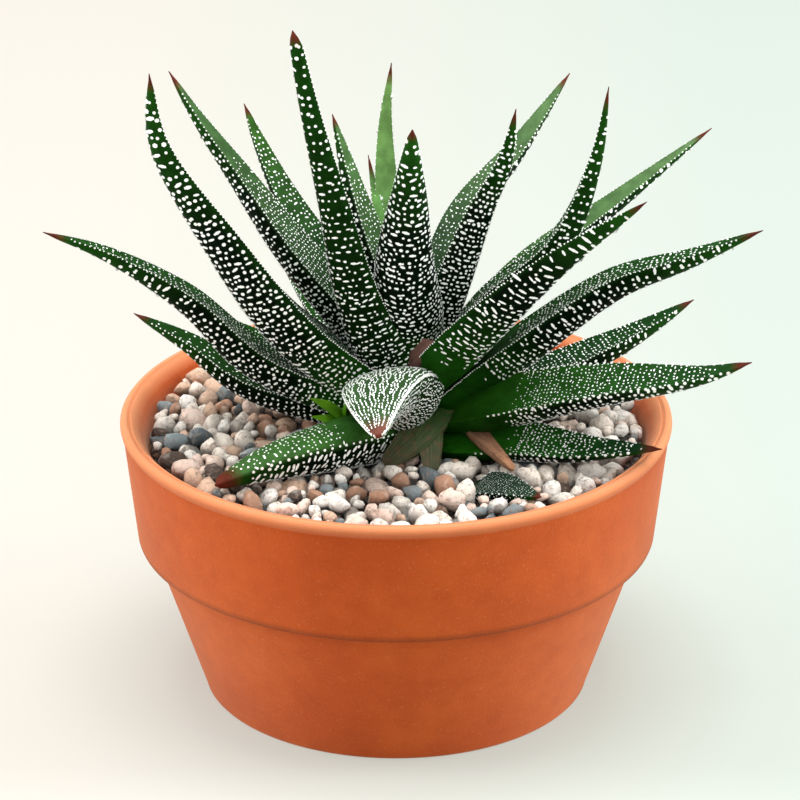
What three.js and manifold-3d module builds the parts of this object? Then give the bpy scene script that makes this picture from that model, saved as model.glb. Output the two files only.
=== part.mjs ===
// A zebra haworthia in a terracotta half pot, dressed with gravel.
// Millimetres, +Z up, origin at the centre of the pot's base. The plant is seen from -Y.
import * as THREE from 'three';
import { mergeVertices } from 'three/addons/utils/BufferGeometryUtils.js';
import Module from 'manifold-3d';

const wasm = await Module();
wasm.setup();

// Driving dimensions of the pot
const rimDiameter = 120;
const potHeight = 63;
const baseDiameter = 85;
const footRounding = 1.2;
const wallTopRadius = 54.3;
const collarBottom = 35;
const collarOverhang = 2.2;
const collarRounding = 0.8;
const collarUndercut = 1.5;
const lipHeight = 3;
const lipProud = 0.7;
const lipRounding = 0.8;
const lipThickness = 2.8;
const floorThickness = 6;
const innerFloorRadius = 38.5;
const drainHoles = 3;
const drainDiameter = 9;
const drainCircleRadius = 21;
const firstDrainTurn = 0.25;
const drainSides = 20;
const potSides = 48;

// Driving dimensions of the fill
const gravelLevel = 59.5;
const gravelRadius = 53.6;
const gravelDepth = 8;
const gravelMound = 1.8;
const wallSlack = 0.3;
const soilSlack = 0.5;
const openEdgeDrop = 2;
const pebblePitch = 9.6;
const pebbleShake = 1.7;
const pebbleSpread = [0.62, 0.84];
const pebbleTop = [1.7, 3.7];
const shoulderShare = 0.62;
const valleyDepth = 1.5;
const honeycombReach = 10;

// Driving dimensions of the plant
const stemX = 3.5;
const stemY = -7;
const stemRadius = 5.6;
const stemTop = gravelLevel + 25;
const stemShoulder = gravelLevel + 14;
const crownRadius = 3;
const rootRadius = 2;
const rootDepth = 22;
const stemSides = 16;
const bedding = 0.3;
const ringSpacing = 5.5;
const hiddenSpacing = 6.5;
const spikeSpacing = 4;
const tubercleHeight = 0.55;
const tipRadius = 0.33;
const tipDepth = 0.53;
const bodyAboveRoute = 0.35;
const fewestRings = 5;
const buriedLeaf = 'leaf_buried';
const leafClearance = bedding + tubercleHeight * 0.6;
const lowLeafClearance = 1.4;
const lowLeafReach = 16;

const fillTop = gravelLevel - gravelDepth;
const rimRadius = rimDiameter / 2;
const baseRadius = baseDiameter / 2;

// Seeded random numbers, the same at every run
let seed = 20;
function random() {
  seed = (seed * 16807) % 2147483647;
  return seed / 2147483647;
}

function between(low, high) {
  return low + (high - low) * random();
}

// Solids: geometry to a joinable solid and back
function toSolid(geometry) {
  const bare = geometry.clone();
  bare.deleteAttribute('normal');
  bare.deleteAttribute('uv');
  const merged = mergeVertices(bare, 1e-4);
  const mesh = new wasm.Mesh({
    numProp: 3,
    vertProperties: new Float32Array(merged.attributes.position.array),
    triVerts: new Uint32Array(merged.index.array),
  });
  return new wasm.Manifold(mesh);
}

function toGeometry(solid) {
  const mesh = solid.getMesh();
  const geometry = new THREE.BufferGeometry();
  geometry.setAttribute('position', new THREE.BufferAttribute(mesh.vertProperties, 3));
  geometry.setIndex(new THREE.BufferAttribute(mesh.triVerts, 1));
  const flat = geometry.toNonIndexed();
  flat.computeVertexNormals();
  return flat;
}

function largestBody(solid) {
  const bodies = solid.decompose();
  bodies.sort((a, b) => b.volume() - a.volume());
  return bodies[0];
}

// Closes a row of rings, each with the same number of points, by a fan at each end
function loft(rings) {
  const sides = rings[0].length;
  const points = [];
  const faces = [];
  for (const ring of rings) {
    for (const p of ring) points.push(p.x, p.y, p.z);
  }
  for (let i = 0; i < rings.length - 1; i += 1) {
    for (let j = 0; j < sides; j += 1) {
      const a = i * sides + j;
      const b = i * sides + ((j + 1) % sides);
      faces.push(a, b + sides, b);
      faces.push(a, a + sides, b + sides);
    }
  }
  const ends = [
    { ring: rings[0], start: 0, forward: false },
    { ring: rings.at(-1), start: sides * (rings.length - 1), forward: true },
  ];
  for (const { ring, start, forward } of ends) {
    const middle = new THREE.Vector3();
    for (const p of ring) middle.addScaledVector(p, 1 / sides);
    const hub = points.length / 3;
    points.push(middle.x, middle.y, middle.z);
    for (let j = 0; j < sides; j += 1) {
      const a = start + j;
      const b = start + ((j + 1) % sides);
      if (forward) faces.push(b, a, hub);
      else faces.push(a, b, hub);
    }
  }
  const geometry = new THREE.BufferGeometry();
  geometry.setAttribute('position', new THREE.BufferAttribute(new Float32Array(points), 3));
  geometry.setIndex(faces);
  return geometry;
}

// A solid turned on the pot's axis, from radius and height pairs
function turned(profile, sides) {
  const outline = profile.map(([radius, height]) => new THREE.Vector2(radius, height));
  const geometry = new THREE.LatheGeometry(outline, sides);
  geometry.rotateX(Math.PI / 2);
  return geometry;
}

function rod(radius, bottom, top, sides) {
  return turned([[0, bottom], [radius, bottom], [radius, top], [0, top]], sides);
}

// Leaf outline: narrow where it clasps the stem, broad a fifth of the way out, then a long taper.
// A blunt leaf keeps a share of its breadth to the end and rounds off there.
const leafWaist = 0.62;
const leafBroadest = 0.18;
const leafTaper = 1.5;
const tipRounding = 0.04;
function leafBreadth(leaf, t) {
  const waist = leaf.waist ?? leafWaist;
  const blunt = leaf.blunt ?? 0;
  const widening = waist + (1 - waist) * THREE.MathUtils.smoothstep(t, 0, leafBroadest);
  if (t < leafBroadest) return widening;
  const sharp = 1 - ((t - leafBroadest) / (1 - leafBroadest)) ** (leaf.taper ?? leafTaper);
  return (blunt + (1 - blunt) * sharp) * Math.sqrt(Math.min(1, (1 - t) / tipRounding));
}

// The shares of the length at which a leaf has a ring of points
function leafStations(leaf, length) {
  const steps = Math.max(fewestRings, Math.round(length / (leaf.spacing ?? ringSpacing)));
  const stations = Array.from({ length: steps + 1 }, (_, i) => i / steps);
  if (leaf.blunt) stations.splice(-1, 0, 1 - tipRounding / 4);
  return stations;
}

// Leaf section, from margin to margin over the inner face, then back round the keeled outer face.
// Each entry is the share of the half breadth across and the share of the depth outwards.
const leafSection = [
  { across: -1, out: 0, raised: 0 },
  { across: -0.5, out: -0.03, raised: 1 },
  { across: 0, out: 0.02, raised: 2 },
  { across: 0.5, out: -0.03, raised: 1 },
  { across: 1, out: 0, raised: 0 },
  { across: 0.9, out: 0.36, raised: 1 },
  { across: 0.64, out: 0.7, raised: 2 },
  { across: 0.32, out: 0.9, raised: 1 },
  { across: 0, out: 1, raised: 2 },
  { across: -0.32, out: 0.9, raised: 1 },
  { across: -0.64, out: 0.7, raised: 2 },
  { across: -0.9, out: 0.36, raised: 1 },
];
const innerFaceLimit = 0.1;

// A plain section with half as many corners, for the small and the dried pieces
const spikeSection = [
  { across: -1, out: 0 },
  { across: 0, out: -0.05 },
  { across: 1, out: 0 },
  { across: 0.62, out: 0.72 },
  { across: 0, out: 1 },
  { across: -0.62, out: 0.72 },
];

function leafCurve(leaf) {
  const points = leaf.route.map(([x, y, z]) => new THREE.Vector3(x, y, z));
  return new THREE.CatmullRomCurve3(points, false, 'centripetal');
}

// The direction, in plan, that a leaf points in from the stem
function leafHeading(leaf) {
  const [x, y] = leaf.route.at(-1);
  return Math.atan2(y - stemY, x - stemX);
}

// The frame of a leaf at a share t of its length: along it, across it, and out towards its keel
function leafFrame(leaf, curve, t) {
  const heading = leafHeading(leaf);
  const side = new THREE.Vector3(-Math.sin(heading), Math.cos(heading), 0);
  const along = curve.getTangentAt(t);
  const across = side.addScaledVector(along, -side.dot(along)).normalize();
  across.applyAxisAngle(along, THREE.MathUtils.degToRad(leaf.roll ?? 0));
  return { along, across, out: across.clone().cross(along).normalize() };
}

// grow swells the leaf on all sides and leaves its skin smooth, for cutting its neighbours
function leafGeometry(leaf, grow = 0) {
  const curve = leafCurve(leaf);
  const stations = leafStations(leaf, curve.getLength());
  const last = stations.length - 1;
  const section = leaf.section ?? leafSection;
  const rings = stations.map((t, i) => {
    const centre = curve.getPointAt(t);
    const { along, across, out } = leafFrame(leaf, curve, t);
    const share = leafBreadth(leaf, t);
    const ownDepth = Math.max(tipDepth, share * leaf.depth);
    const halfBreadth = Math.max(tipRadius, share * leaf.breadth / 2) + grow;
    const depth = ownDepth + grow;
    if (i === 0) centre.addScaledVector(along, -grow);
    if (i === last) centre.addScaledVector(along, grow);
    return section.map((corner) => {
      const isOuter = corner.out > innerFaceLimit;
      const relief = tubercleHeight * Math.min(1, share * 2) * (isOuter ? 1 : leaf.inner ?? 0);
      const isRaised = corner.raised > 0 && corner.raised % 2 === i % 2 && i > 1 && i < last;
      const lift = grow === 0 && isRaised ? relief : 0;
      const scale = 1 + lift / Math.hypot(corner.across * halfBreadth, depth);
      const bulge = (leaf.crown ?? 0) * Math.sqrt(1 - corner.across ** 2);
      const p = centre.clone();
      p.addScaledVector(across, corner.across * halfBreadth * scale);
      const innerDrop = (corner.out - bulge) * depth - lift - grow;
      const drop = isOuter ? corner.out * depth * scale : innerDrop;
      p.addScaledVector(out, drop - ownDepth * bodyAboveRoute);
      return p;
    });
  });
  return loft(rings);
}

// Leaves, from the stem outwards: where each starts, where it bends, and its tip.
// breadth and depth are taken where the leaf is broadest. inner is the relief of the inner face.
// roll turns a leaf about its own length, in degrees. spacing is the step from ring to ring.
// taper above 1 keeps a leaf broad for longer. waist is the share of the breadth at its base and
// blunt at its tip. crown is how far the inner face bulges, as a share of the depth.
const leaves = [
  {
    name: 'leaf_front_tall', breadth: 15, depth: 8.5, inner: 0.3,
    taper: 0.7, waist: 0.98, blunt: 0.2,
    route: [[1, -11, 74], [-8, -17, 96], [-13.3, -21, 120], [-18, -24, 142], [-21.1, -25, 159]],
  },
  {
    name: 'leaf_front_mid', breadth: 14.5, depth: 8, inner: 0.3,
    taper: 1.5, waist: 0.8, blunt: 0.08,
    route: [[4, -11, 80], [1.8, -20, 104], [2.7, -25, 122], [3.4, -30, 139.3]],
  },
  {
    name: 'leaf_front_facing', breadth: 20, depth: 8.5, inner: 1,
    roll: 14, taper: 1.9, blunt: 0.1, crown: 0.4,
    route: [[3.5, -11, 67], [-1.5, -24, 77], [-3.4, -37, 80.2], [-3.5, -52, 80]],
  },
  {
    name: 'leaf_front_left_low', breadth: 13.5, depth: 8, inner: 0.8,
    roll: 5, taper: 1.9, blunt: 0.2, crown: 0.35,
    route: [[0, -10, 62], [-10, -21, 64.5], [-26, -31, 64.6], [-38, -38, 62.7]],
  },
  {
    name: 'leaf_front_right_low', breadth: 12, depth: 6, inner: 0.5,
    roll: 20, taper: 1.7,
    route: [[7, -10, 60.3], [25, -17, 63.2], [39, -23, 64.2], [56.3, -28, 66.6]],
  },
  {
    name: 'leaf_right_broad', breadth: 13.5, depth: 8, inner: 0.5,
    roll: 20, taper: 1.9,
    route: [[7, -9, 65], [22, -16, 71.5], [43, -25, 79.5], [64, -33, 85.6], [74, -36, 90]],
  },
  {
    name: 'leaf_right_front_raised', breadth: 14.5, depth: 8.5, inner: 0,
    roll: 2, taper: 1.7, waist: 0.8,
    route: [[6, -10, 74.5], [16.3, -20, 90.6], [33.5, -32, 111.7], [51, -43, 128.5]],
  },
  {
    name: 'leaf_left_front_tall', breadth: 18, depth: 10, inner: 0,
    taper: 1.7, waist: 0.95,
    route: [[-1, -9, 71], [-21, -14, 88.5], [-37, -19, 112.5], [-48.8, -23, 134], [-50.5, -26, 150]],
  },
  {
    name: 'leaf_left_long', breadth: 13, depth: 8, inner: 0.3,
    waist: 0.9,
    route: [[-1, -8, 67], [-29, -9, 79.2], [-44, -12, 94.5], [-61, -15, 106], [-74, -18, 112]],
  },
  {
    name: 'leaf_left_low', breadth: 12.2, depth: 7, inner: 0.3,
    taper: 1.9,
    route: [[0, -6, 64], [-32, 0, 70], [-45, 4, 77.5], [-57, 8, 82.8]],
  },
  {
    name: 'leaf_left_back_tall', breadth: 11.5, depth: 8, inner: 0,
    taper: 1.4, waist: 0.95,
    route: [[0, -6, 76], [-22.6, -2, 102.5], [-32.6, 3, 115.5], [-42.4, 7, 128.6], [-48.4, 10, 137.8]],
  },
  {
    name: 'leaf_back_left', breadth: 10.5, depth: 6, inner: 0.4,
    route: [[-2, -3, 78], [-22.5, 10, 106], [-29.8, 18, 119], [-33, 25, 125]],
  },
  {
    name: 'leaf_centre_left', breadth: 9, depth: 7, inner: 0,
    route: [[2, -6, 84], [-7, -5, 109], [-10.5, -2, 121], [-13.5, 2, 131]],
  },
  {
    name: 'leaf_centre_back', breadth: 7, depth: 4, inner: 0,
    route: [[3, -4, 84], [-1.6, 6, 106], [-2.4, 13, 124], [-1, 17, 137.2]],
  },
  {
    name: 'leaf_young', breadth: 4.5, depth: 3, inner: 0,
    route: [[2.5, -6, 85], [-2, -1, 97], [-4, 5, 108], [-6, 12, 118]],
  },
  {
    name: 'leaf_centre_right', breadth: 9.3, depth: 7, inner: 0,
    taper: 1.8,
    route: [[6, -7, 80], [12, -10, 99], [17.5, -12, 115], [22.5, -13, 126], [25, -14, 138]],
  },
  {
    name: 'leaf_back_right_tall', breadth: 10.5, depth: 6, inner: 0.4,
    route: [[6, -4, 78], [14.5, 7, 104.5], [26.7, 18, 117.6], [37.7, 27, 131.3]],
  },
  {
    name: 'leaf_right_upturned', breadth: 9, depth: 8, inner: 0,
    taper: 1.3,
    route: [[8, -7, 72], [18.5, -8, 90.5], [34.5, -11, 107.8], [41.5, -12, 126], [44.3, -12, 142.2]],
  },
  {
    name: 'leaf_right_back_raised', breadth: 10, depth: 6, inner: 0.3,
    route: [[7, -4, 70], [28, 8, 92.5], [49, 20, 105], [69, 30, 117.5]],
  },
  {
    name: 'leaf_right_long', breadth: 12, depth: 8, inner: 0.3,
    taper: 1.8,
    route: [[8, -7, 67], [27, -9, 83], [46, -12, 98], [62, -15, 105], [77, -17, 112]],
  },
  {
    name: 'leaf_right_low', breadth: 12.3, depth: 7.5, inner: 0.3,
    taper: 1.9,
    route: [[8, -6, 63], [31, -2, 71.6], [51.3, 4, 79.4], [64.7, 9, 85.6]],
  },
  {
    name: buriedLeaf, breadth: 10, depth: 6, inner: 0.3,
    roll: 14,
    route: [[16, -28, 56.5], [22, -33, 59.3], [30.5, -39.5, 60.8]],
  },
  {
    name: 'leaf_back_low_left', breadth: 9, depth: 6.5, inner: 0.3, spacing: hiddenSpacing,
    route: [[0, -5, 66], [-18, 8, 70], [-38, 20, 77]],
  },
  {
    name: 'leaf_back_low_mid_left', breadth: 12, depth: 6.5, inner: 0.3, spacing: hiddenSpacing,
    route: [[0, -3, 70], [-13, 15, 76], [-24.5, 34, 82.2]],
  },
  {
    name: 'leaf_back_low_middle', breadth: 9, depth: 6.5, inner: 0.3, spacing: hiddenSpacing,
    route: [[4, -2, 65], [4, 20, 71], [3, 43, 80]],
  },
  {
    name: 'leaf_back_low_right', breadth: 9, depth: 6.5, inner: 0.3, spacing: hiddenSpacing,
    route: [[6, -3, 68], [18, 14, 75], [30, 33, 83]],
  },
];

// Materials
const terracotta = new THREE.MeshStandardMaterial({ color: '#c2622f', roughness: 0.85, metalness: 0 });
const soilBrown = new THREE.MeshStandardMaterial({ color: '#3a2a1e', roughness: 0.95, metalness: 0 });
const gravelStone = new THREE.MeshStandardMaterial({ color: '#cdbfae', roughness: 0.8, metalness: 0 });
const leafGreen = new THREE.MeshStandardMaterial({ color: '#1f4a22', roughness: 0.45, metalness: 0 });
const pupGreen = new THREE.MeshStandardMaterial({ color: '#3f8a2a', roughness: 0.45, metalness: 0 });
const stemGreen = new THREE.MeshStandardMaterial({ color: '#55603a', roughness: 0.7, metalness: 0 });
const driedBrown = new THREE.MeshStandardMaterial({ color: '#8a6248', roughness: 0.8, metalness: 0 });

const group = new THREE.Group();
function addPiece(name, solid, material) {
  const mesh = new THREE.Mesh(toGeometry(solid), material);
  mesh.name = name;
  group.add(mesh);
}

// Pot: a tapered wall, a collar that stands proud of it, and a rolled lip
function potSolid() {
  const lipBottom = potHeight - lipHeight;
  const profile = [
    [0, 0],
    [baseRadius - footRounding, 0],
    [baseRadius, footRounding],
    [wallTopRadius, collarBottom + collarUndercut],
    [wallTopRadius + collarOverhang - collarRounding, collarBottom],
    [wallTopRadius + collarOverhang, collarBottom + collarRounding],
    [rimRadius - lipProud, lipBottom],
    [rimRadius - lipProud / 4, lipBottom + lipProud],
    [rimRadius, lipBottom + lipHeight / 2],
    [rimRadius - lipRounding / 3, potHeight - lipRounding],
    [rimRadius - lipRounding, potHeight - lipRounding / 3],
    [rimRadius - 2 * lipRounding, potHeight],
    [rimRadius - lipThickness, potHeight - lipRounding / 3],
    [gravelRadius + 2 * wallSlack, gravelLevel - 2 * wallSlack],
    [gravelRadius + wallSlack, fillTop],
    [innerFloorRadius, floorThickness],
    [0, floorThickness],
  ];
  let pot = toSolid(turned(profile, potSides));
  const drill = rod(drainDiameter / 2, -floorThickness, 2 * floorThickness, drainSides);
  for (let i = 0; i < drainHoles; i += 1) {
    const angle = (i + firstDrainTurn) * 2 * Math.PI / drainHoles;
    const hole = drill.clone();
    hole.translate(drainCircleRadius * Math.cos(angle), drainCircleRadius * Math.sin(angle), 0);
    pot = pot.subtract(toSolid(hole));
  }
  return pot;
}

// Stem: it carries the leaves above the gravel, and narrows to a root crown in the soil
function stemGeometry(grow = 0) {
  const geometry = turned([
    [0, fillTop - rootDepth - grow],
    [rootRadius + grow, fillTop - rootDepth - grow],
    [stemRadius + grow, gravelLevel],
    [stemRadius + grow, stemShoulder],
    [crownRadius + grow, stemTop + grow],
    [0, stemTop + grow],
  ], stemSides);
  geometry.translate(stemX, stemY, 0);
  return geometry;
}

// Soil under the gravel, filling the pot, with a hole for the stem's root
function soilSolid() {
  const bottom = floorThickness + bedding;
  const top = fillTop - bedding;
  const wallSlope = (gravelRadius + wallSlack - innerFloorRadius) / (fillTop - floorThickness);
  const bottomRadius = innerFloorRadius - soilSlack;
  const topRadius = bottomRadius + wallSlope * (top - bottom);
  const profile = [[0, bottom], [bottomRadius, bottom], [topRadius, top], [0, top]];
  return toSolid(turned(profile, potSides)).subtract(toSolid(stemGeometry(bedding)));
}

// Gravel: a sheet of pebbles, each a faceted dome in its own cell of a shaken honeycomb
function gravelBed(x, y) {
  return gravelLevel - valleyDepth + gravelMound * (1 - (x * x + y * y) / gravelRadius ** 2);
}

function pebbleRows() {
  const rowPitch = pebblePitch * Math.sqrt(3) / 2;
  const rows = [];
  for (let row = -honeycombReach; row <= honeycombReach; row += 1) {
    const line = [];
    for (let column = -honeycombReach; column <= honeycombReach; column += 1) {
      const shift = Math.abs(row % 2) / 2;
      const x = (column + shift) * pebblePitch + between(-pebbleShake, pebbleShake);
      const y = row * rowPitch + between(-pebbleShake, pebbleShake);
      line.push({ x, y, spread: between(...pebbleSpread), top: between(...pebbleTop) });
    }
    rows.push(line);
  }
  return rows;
}

function gravelSheet() {
  const rows = pebbleRows();
  const points = [];
  const triangle = (...corners) => corners.forEach((corner) => points.push(...corner));
  for (let i = 1; i < rows.length - 1; i += 1) {
    // In a shifted row the slanting neighbours sit one column further on
    const shift = Math.abs((i - honeycombReach) % 2);
    for (let j = 1; j < rows[i].length - 1; j += 1) {
      const pebble = rows[i][j];
      const around = [
        rows[i][j + 1], rows[i + 1][j + shift], rows[i + 1][j + shift - 1],
        rows[i][j - 1], rows[i - 1][j + shift - 1], rows[i - 1][j + shift],
      ];
      const valleys = around.map((near, k) => {
        const next = around[(k + 1) % around.length];
        const x = (pebble.x + near.x + next.x) / 3;
        const y = (pebble.y + near.y + next.y) / 3;
        return [x, y, gravelBed(x, y)];
      });
      const shoulders = valleys.map(([x, y]) => {
        const sx = pebble.x + (x - pebble.x) * pebble.spread;
        const sy = pebble.y + (y - pebble.y) * pebble.spread;
        return [sx, sy, gravelBed(sx, sy) + pebble.top * shoulderShare];
      });
      const crown = [pebble.x, pebble.y, gravelBed(pebble.x, pebble.y) + pebble.top];
      valleys.forEach((valley, k) => {
        const next = (k + 1) % valleys.length;
        triangle(crown, shoulders[k], shoulders[next]);
        triangle(shoulders[k], valley, valleys[next]);
        triangle(shoulders[k], valleys[next], shoulders[next]);
      });
    }
  }
  const sheet = new THREE.BufferGeometry();
  sheet.setAttribute('position', new THREE.BufferAttribute(new Float32Array(points), 3));
  return mergeVertices(sheet, 1e-3);
}

// Drops the open edge of a sheet to a height and closes it there
function closedBelow(sheet, height) {
  const points = Array.from(sheet.attributes.position.array);
  const faces = Array.from(sheet.index.array);
  const edges = new Map();
  for (let i = 0; i < faces.length; i += 3) {
    for (let k = 0; k < 3; k += 1) {
      const from = faces[i + k];
      const to = faces[i + ((k + 1) % 3)];
      if (!edges.delete(`${to} ${from}`)) edges.set(`${from} ${to}`, [from, to]);
    }
  }
  const lowered = new Map();
  const lower = (index) => {
    if (!lowered.has(index)) {
      lowered.set(index, points.length / 3);
      points.push(points[index * 3], points[index * 3 + 1], height);
    }
    return lowered.get(index);
  };
  const hub = points.length / 3;
  points.push(0, 0, height);
  for (const [from, to] of edges.values()) {
    faces.push(to, from, lower(from), to, lower(from), lower(to), lower(to), lower(from), hub);
  }
  const geometry = new THREE.BufferGeometry();
  geometry.setAttribute('position', new THREE.BufferAttribute(new Float32Array(points), 3));
  geometry.setIndex(faces);
  return geometry;
}

function gravelSolid() {
  const bed = toSolid(closedBelow(gravelSheet(), fillTop - openEdgeDrop));
  return bed.intersect(toSolid(rod(gravelRadius, fillTop, stemTop, potSides)));
}

// A small plain tapered spike along a route, for the dried pieces and the pup's leaves
function spike(part, grow = 0) {
  return toSolid(leafGeometry({ ...part, spacing: spikeSpacing, section: spikeSection }, grow));
}

function tuft(parts, grow = 0) {
  return parts.map((part) => spike(part, grow)).reduce((whole, part) => whole.add(part));
}

const pupRoll = -45;
const pup = [
  { route: [[-8, -11, 63], [-12.5, -14, 69], [-18.4, -16, 73.2]],
    breadth: 5, depth: 2.4, roll: pupRoll },
  { route: [[-8, -11, 62], [-12.5, -14, 66.6], [-18.2, -16, 68.9]],
    breadth: 4.4, depth: 2.2, roll: pupRoll },
  { route: [[-8, -11, 63], [-10.8, -14, 68.5], [-10.6, -16, 72.4]],
    breadth: 4.4, depth: 2.2, roll: pupRoll },
];
const driedLeaf = [{
  route: [[15.5, -13.5, 65.8], [19, -20, 64.6], [25, -27.7, 61.6]],
  breadth: 4.2, depth: 3.4, waist: 1, blunt: 0.35,
}];
const stalkStub = [{
  route: [[2, -11, 75], [4, -16.5, 82], [8, -19, 87.6]],
  breadth: 6.2, depth: 4.4, waist: 1, blunt: 0.6,
}];
const oldLeafBase = [
  {
    route: [[9, -12, 68], [4.5, -21, 66], [-2.4, -27, 62.3]],
    breadth: 9, depth: 5.5, waist: 0.9, taper: 1.9, blunt: 0.3,
  },
  {
    route: [[6, -15, 66.5], [7, -22, 65.5], [7.5, -26.5, 60.5]],
    breadth: 7, depth: 4.5, waist: 0.9, blunt: 0.4,
  },
];

const taken = [stemGeometry(bedding)].map(toSolid);
function seat(solid) {
  return largestBody(taken.reduce((rest, other) => rest.subtract(other), solid));
}

const dry = [
  { name: 'dried_leaf_front', parts: driedLeaf, material: driedBrown },
  { name: 'flower_stalk_stub', parts: stalkStub, material: driedBrown },
  { name: 'old_leaf_base', parts: oldLeafBase, material: stemGreen },
  { name: 'pup', parts: pup, material: pupGreen },
];

addPiece('pot', potSolid(), terracotta);
addPiece('soil', soilSolid(), soilBrown);
addPiece('stem', toSolid(stemGeometry()), stemGreen);

for (const leaf of leaves) {
  addPiece(leaf.name, seat(toSolid(leafGeometry(leaf))), leafGreen);
  taken.push(toSolid(leafGeometry(leaf, leafClearance)));
}
for (const piece of dry) {
  addPiece(piece.name, seat(tuft(piece.parts)), piece.material);
  taken.push(tuft(piece.parts, bedding));
}

// The gravel keeps clear of the plain outer shapes of the low leaves, and closely of the rest
function gravelHollow(leaf) {
  if (leaf.name === buriedLeaf) return toSolid(leafGeometry(leaf, leafClearance));
  const plain = { ...leaf, spacing: hiddenSpacing, section: spikeSection };
  return toSolid(leafGeometry(plain, lowLeafClearance));
}

const lowLeaves = leaves.filter((leaf) => leaf.route[1][2] < gravelLevel + lowLeafReach);
const hollows = [
  ...lowLeaves.map(gravelHollow),
  ...dry.map((piece) => tuft(piece.parts, bedding)),
  toSolid(stemGeometry(bedding)),
];
const gravel = hollows.reduce((rest, hollow) => rest.subtract(hollow), gravelSolid());
addPiece('gravel', largestBody(gravel), gravelStone);

export default group;
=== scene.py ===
import math

import bpy
import numpy as np
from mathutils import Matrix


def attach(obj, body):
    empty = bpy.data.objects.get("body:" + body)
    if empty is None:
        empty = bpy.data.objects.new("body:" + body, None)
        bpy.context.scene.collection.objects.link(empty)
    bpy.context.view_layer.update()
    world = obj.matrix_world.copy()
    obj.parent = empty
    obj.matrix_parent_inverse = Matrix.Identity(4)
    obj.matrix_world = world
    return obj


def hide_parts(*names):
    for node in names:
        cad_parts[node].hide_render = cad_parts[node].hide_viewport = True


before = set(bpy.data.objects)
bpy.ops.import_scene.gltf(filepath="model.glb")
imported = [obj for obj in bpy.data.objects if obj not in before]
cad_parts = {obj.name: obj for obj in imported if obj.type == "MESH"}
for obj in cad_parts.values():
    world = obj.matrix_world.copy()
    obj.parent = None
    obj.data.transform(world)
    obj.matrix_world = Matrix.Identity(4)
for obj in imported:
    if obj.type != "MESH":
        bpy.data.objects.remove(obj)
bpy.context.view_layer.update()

# A zebra haworthia in a terracotta half pot dressed with gravel. Metres, +Z up, seen from -Y.
ops = bpy.ops
mm = 0.001


view = {
    "target": (0.85, 0, 65.75),      # mm, the point in the middle of the picture
    "elevation": 23.61,              # degrees above the horizon
    "distance": 1000,                # mm
    "lens": 207.2,
    "clip": (0.02, 30),              # metres
}


def placeCamera():
    angle = math.radians(view["elevation"])
    x, y, z = (value * mm for value in view["target"])
    reach = view["distance"] * mm
    ops.object.camera_add(
        location=(x, y - reach * math.cos(angle), z + reach * math.sin(angle)),
        rotation=(math.pi / 2 - angle, 0, 0))
    camera = bpy.context.object
    camera.name = "photographersView"
    camera.data.lens = view["lens"]
    camera.data.clip_start, camera.data.clip_end = view["clip"]
    bpy.context.scene.camera = camera


placeCamera()
print("camera set")


def linearColor(hexText):
    channels = [int(hexText[i:i + 2], 16) / 255 for i in (1, 3, 5)]
    return [c / 12.92 if c <= 0.04045 else ((c + 0.055) / 1.055) ** 2.4 for c in channels] + [1.0]


def addNode(tree, kind, inputs=None, **settings):
    # A node given as an input stands for its first output, and a hex text for its colour
    node = tree.nodes.new("ShaderNode" + kind)
    for name, value in settings.items():
        setattr(node, name, value)
    for name, value in (inputs or {}).items():
        if isinstance(value, bpy.types.Node):
            value = value.outputs[0]
        if isinstance(value, str):
            value = linearColor(value)
        if isinstance(value, bpy.types.NodeSocket):
            tree.links.new(value, node.inputs[name])
        else:
            node.inputs[name].default_value = value
    return node


def makeMaterial(name, shading):
    # shading gets the tree and the place on the object in metres, and gives the shader's inputs
    material = bpy.data.materials.new(name)
    material.use_nodes = True
    tree = material.node_tree
    tree.nodes.clear()
    place = addNode(tree, "TexCoord").outputs["Object"]
    shader = addNode(tree, "BsdfPrincipled", shading(tree, place))
    addNode(tree, "OutputMaterial", {"Surface": shader})
    return material


def layTones(tree, color, *layers):
    # Each layer is a pattern, the values at which it starts to show and shows most, its share
    # there, and its tone
    for pattern, start, end, share, tone in layers:
        shown = addNode(tree, "MapRange", {
            "Value": pattern, "From Min": start, "From Max": end, "To Max": share})
        color = addNode(tree, "Mix", {0: shown, 6: color, 7: tone}, data_type="RGBA").outputs[2]
    return color


def perMetre(size):
    # Scale of a pattern whose features are this many millimetres apart
    return 1000 / size


# Terracotta: red clay thrown on a wheel and fired without a glaze. The eye sees a matt, warm
# orange body with fine grit, cloudy firing marks and faint turning lines. The lip is painted
# paler as a painted highlight of the top light, and the crease under the collar darker as
# painted shade.
terracottaLook = {
    # The pale of the specks also paints the lip's highlight; the darkest tone is painted shade
    "body": "#b04614", "pale": "#bc521c", "deep": "#9f3c0e", "bloomAndPaintedHighlight": "#dc9468", "seamShadeTone": "#4a1c08",
    "cloud": 26, "mottle": 5, "grit": 0.55, "turning": 1.7,      # mm
    # where the lip is painted paler as a painted highlight of the top light
    "lipFrom": 0.0603, "lipTo": 0.0628,                          # metres above the base
    # where the crease under the collar is darkened as painted shade
    "seam": 0.0351, "seamReach": 0.0018, "seamShadeShare": 0.62,      # metres, and its share in the seam
    "sheen": 0.26, "sheenTint": "#ffe6c4",                       # dust of the fired clay
}


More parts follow.
